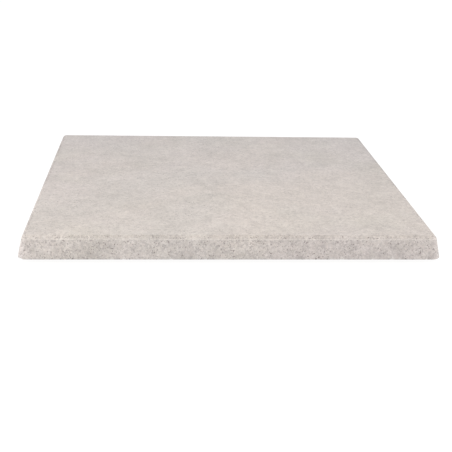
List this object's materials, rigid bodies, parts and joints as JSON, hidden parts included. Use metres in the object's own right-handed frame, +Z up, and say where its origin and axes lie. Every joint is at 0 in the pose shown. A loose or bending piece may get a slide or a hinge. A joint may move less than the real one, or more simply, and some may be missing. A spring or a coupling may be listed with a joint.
{
  "type": "granite slab",
  "caption": "Thin square granite work slab with leaning sides and a rounded top edge, on stick-on rubber feet, for tooling and stamping leather.",
  "frame": {"origin": "on the bench, under the middle of the slab, at the bottom of the feet", "axes": "+Z up and square to the work face, +X to the right along the front edge, +Y to the back, so the front edge faces -Y"},
  "size_m": [0.457, 0.457, 0.0301],
  "materials": {
    "granite": "honed, fine-grained warm grey with small dark specks",
    "rubber": "matt black moulded",
    "adhesive": "milky acrylic adhesive film"
  },
  "bodies": {
    "root": {"granite_slab": "granite", "foot_front_left": "rubber", "foot_front_right": "rubber", "foot_back_left": "rubber", "foot_back_right": "rubber", "adhesive_front_left": "adhesive", "adhesive_front_right": "adhesive", "adhesive_back_left": "adhesive", "adhesive_back_right": "adhesive"}
  },
  "joints": []
}
